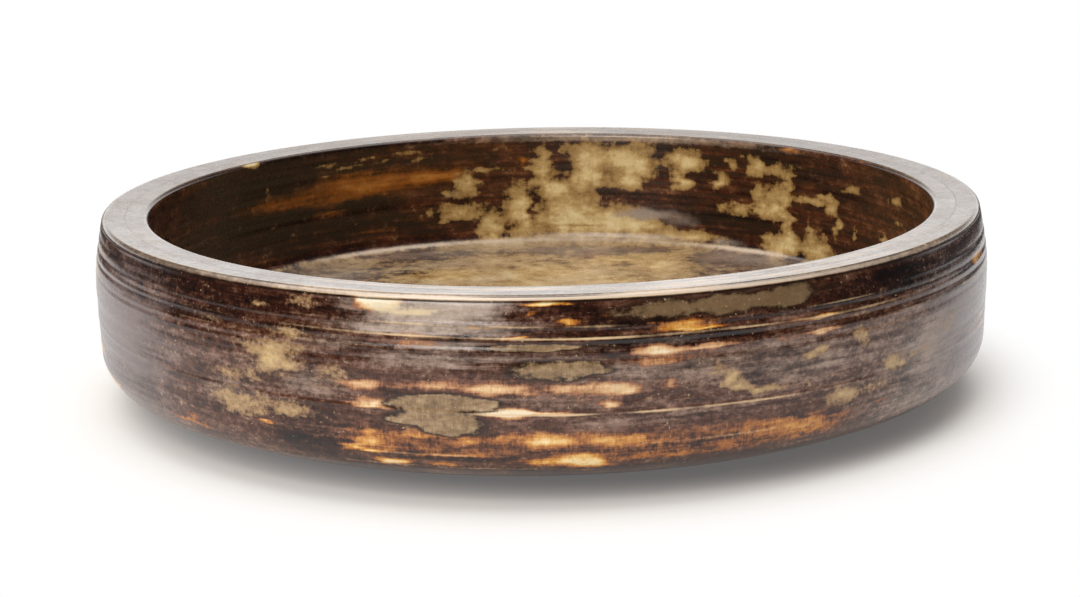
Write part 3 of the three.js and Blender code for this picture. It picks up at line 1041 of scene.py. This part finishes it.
def inside_glaze():
    """The same stoneware glaze inside, where it was swilled round and ran down. The eye sees a softer gloss,
    cloudy sand on the floor and up parts of the wall, and deep brown elsewhere."""
    made, tree, shader = ceramic("mottled_iron_glaze")
    names = ("warm", "sandy", "milky", "dark", "thin", "rim", "tan")
    painted = {name: node(tree, "Attribute", attribute_name=name, out=2) for name in names}

    # The sizes are those of the outside glaze, with blots that are rounder and runs that go down the wall.
    streak = cloud(tree, 24, 1.6, 6, 0.65)
    drift = cloud(tree, 10, 5, 5)
    blot = cloud(tree, 3.6, 2.4, 4)
    run = cloud(tree, 2.2, 9, 4)
    crumb = cloud(tree, 1.2, 1.2, 4, 0.7)

    # The body of the glaze is a deeper brown than outside, with streaks round the bowl and fine runs down it.
    # It is darker in its dark patches, which on the left of the far wall are partly painted shade.
    tone = total(tree, 0.44, (streak, 0.2), (drift, 0.15), (blot, 0.1), (crumb, 0.05))
    tone = total(tree, tone, (painted["dark"], -0.25))
    browns = [(0.15, "#120401"), (0.34, "#280e04"), (0.5, "#47200b"), (0.68, "#714427"), (1.0, "#9c7450")]
    colour = node(tree, "ValToRGB", {0: tone}, stops=browns)

    # It glows amber where it is thin.
    glow = total(tree, -0.05, (painted["warm"], 0.85), (streak, 0.14), (drift, 0.1), (blot, 0.06))
    glow = total(tree, glow, (crumb, 0.04))
    ambers = [(0.1, "#3b1d08"), (0.32, "#5e3206"), (0.52, "#834810"), (0.78, "#b0702c"), (1.0, "#f6d7a2")]
    amber = node(tree, "ValToRGB", {0: glow}, stops=ambers)
    colour = layer(tree, colour, amber, glow, 0.06, 0.45)

    # Sandy patches run down the wall, golden brown at their edges and beige where they are thick.
    sand = total(tree, 0.08, (painted["sandy"], 1.0), (crumb, 0.08), (blot, 0.18), (drift, 0.14))
    sand = total(tree, sand, (run, 0.12))
    beige = total(tree, 0.15, (painted["sandy"], 0.5), (crumb, 0.05), (blot, 0.12), (drift, 0.14))
    beige = total(tree, beige, (run, 0.07))
    beiges = [(0.1, "#583a12"), (0.34, "#8f6d3c"), (0.54, "#bb9960"), (0.74, "#dfc58b"), (1.0, "#f2dfb2")]
    beige = node(tree, "ValToRGB", {0: beige}, stops=beiges)
    colour = layer(tree, colour, beige, sand, 0.26, 0.5, 0.96)

    # Over all that lie the milky veil, thin glaze in pale lines, which are partly a painted highlight under
    # the far lip and a painted reflection at the foot of the wall, and the rim.
    milk = total(tree, -0.05, (painted["milky"], 1.0), (blot, 0.07), (drift, 0.1))
    colour = layer(tree, colour, linear("#a08f80"), milk, 0.05, 1.0, 0.9)
    thin = total(tree, 0.0, (painted["thin"], 1.0), (crumb, 0.08), (blot, 0.12), (streak, 0.1))
    colour = layer(tree, colour, linear("#cdb59b"), thin, 0.05, 0.95, 0.9)
    colour = rim_glaze(tree, painted, colour, blot, crumb)
    tree.links.new(colour, shader.inputs["Base Color"])
    gloss = total(tree, 0.28, (painted["rim"], -0.08), (crumb, 0.05), (drift, 0.04))
    tree.links.new(gloss, shader.inputs["Roughness"])
    return made


def fired_clay():
    """Stoneware clay, turned on the wheel and fired bare. The eye sees a matt and gritty light brown with
    fine dark specks of iron."""
    made, tree, shader = ceramic("bare_fired_clay")
    shader.inputs["Roughness"].default_value = 0.85

    # The grit is 0.5 mm, as in a coarse throwing clay, and the specks are 0.7 mm.
    grit = cloud(tree, 0.5, 0.5, 5)
    colour = total(tree, 0.5, (grit, 0.2), (cloud(tree, 14, 14, 3), 0.15))
    colour = node(tree, "ValToRGB", {0: colour}, stops=[(0.2, "#735540"), (0.8, "#b08f6d")])
    colour = layer(tree, colour, linear("#3a2417"), cloud(tree, 0.7, 0.7, 1, 0.4), 0.95, 1.1, 0.8)
    tree.links.new(colour, shader.inputs["Base Color"])
    bump = node(tree, "Bump", {"Height": grit, "Distance": 0.00008, "Strength": 0.8})
    tree.links.new(bump, shader.inputs["Normal"])
    return made


paint_outside(outside)
paint_inside(inside)
paint_rim(outside)
paint_rim(inside)
outside.data.materials.append(outside_glaze())
inside.data.materials.append(inside_glaze())
clay.data.materials.append(fired_clay())
for piece in (outside, inside, clay):
    piece.data.set_sharp_from_angle(angle=SHARP_ANGLE)


# Stage


def floor():
    """A small round table with matt, warm white paint. To the camera and in reflections it is lit from
    within: a little near the bowl, where the bowl's shadow stays, and fully further away."""
    sides, radius = 96, 0.3
    turn = np.linspace(0, 2 * math.pi, sides, endpoint=False)
    ring = np.stack([np.cos(turn), np.sin(turn), np.zeros(sides)], 1) * radius
    made = solid("table", ring, [np.arange(sides)[None]])
    pale = bpy.data.materials.new("white_table")
    pale.use_nodes = True
    tree = pale.node_tree
    shader = tree.nodes["Principled BSDF"]
    shader.inputs["Base Color"].default_value = linear("#f7f2eb")
    shader.inputs["Roughness"].default_value = 0.9
    glow = node(tree, "Emission", {0: linear("#ffffff")})
    place = node(tree, "TexCoord", out=3)
    distance = node(tree, "VectorMath", {0: place}, out=1, operation="LENGTH")
    across = node(tree, "SeparateXYZ", {0: place})

    # The light grows from its least, 104 mm from the middle, to its full, 136 mm from it. Its least is a
    # little more on the left than on the right.
    left_to_right = {"Value": across, "From Min": -0.1, "From Max": 0.1, "To Min": 0.15, "To Max": 0.1}
    least = node(tree, "MapRange", left_to_right)
    outwards_from_bowl = {"Value": distance, "From Min": 0.104, "From Max": 0.136, "To Min": least}
    share = node(tree, "MapRange", outwards_from_bowl, interpolation_type="SMOOTHSTEP")
    camera_ray = node(tree, "LightPath", out=0)
    glossy_ray = node(tree, "LightPath", out=3)
    seen = node(tree, "Math", {0: camera_ray, 1: glossy_ray}, operation="ADD")
    share = node(tree, "Math", {0: share, 1: seen}, operation="MULTIPLY")
    mixed = node(tree, "MixShader", {0: share, 1: shader.outputs[0], 2: glow})
    tree.links.new(mixed, tree.nodes["Material Output"].inputs["Surface"])
    made.data.materials.append(pale)


def lamp(name, place, size, power):
    """A square soft light that points at the bowl. Place and size are in metres, and power is in watts."""
    data = bpy.data.lights.new(name, "AREA")
    data.shape = "SQUARE"
    data.size = size
    data.energy = power
    made = bpy.data.objects.new(name, data)
    bpy.context.scene.collection.objects.link(made)
    made.location = place
    made.rotation_euler = (-Vector(place)).to_track_quat("-Z", "Y").to_euler()


def studio():
    """A room with a bright strip behind the bowl, a little above the table, and light overhead. It is dark
    elsewhere in reflections, and white where the camera sees it."""
    world = bpy.data.worlds.new("studio")
    world.use_nodes = True
    tree = world.node_tree
    towards = node(tree, "TexCoord", out=0)
    up = node(tree, "SeparateXYZ", {0: towards}, out=2)
    away = node(tree, "SeparateXYZ", {0: towards}, out=1)

    # The strip is twice as bright as white, and ends at its top, at the table and at both sides.
    strip = 2.0
    for value, dark, bright in ((up, 0.36, 0.14), (up, 0.0, 0.1), (away, 0.2, 0.6)):
        limits = {"Value": value, "From Min": dark, "From Max": bright}
        share = node(tree, "MapRange", limits, interpolation_type="SMOOTHSTEP")
        strip = node(tree, "Math", {0: strip, 1: share}, operation="MULTIPLY")
    overhead = node(tree, "MapRange", {"Value": up, "From Min": 0.6, "From Max": 0.95})
    light = total(tree, 0.08, (strip, 1.0), (overhead, 1.0))
    seen = node(tree, "LightPath", out=0)
    light = node(tree, "Mix", {"Factor": seen, 2: light, 3: 1.0})
    background = tree.nodes["Background"]
    tree.links.new(light, background.inputs["Strength"])
    background.inputs["Color"].default_value = linear("#ffffff")
    bpy.context.scene.world = world


floor()
studio()
lamp("overhead", (-0.1, 0.25, 1.1), 1.4, 9)
lamp("front", (-0.5, -1.0, 0.8), 0.8, 12.5)
bpy.context.scene.view_settings.view_transform = "Standard"
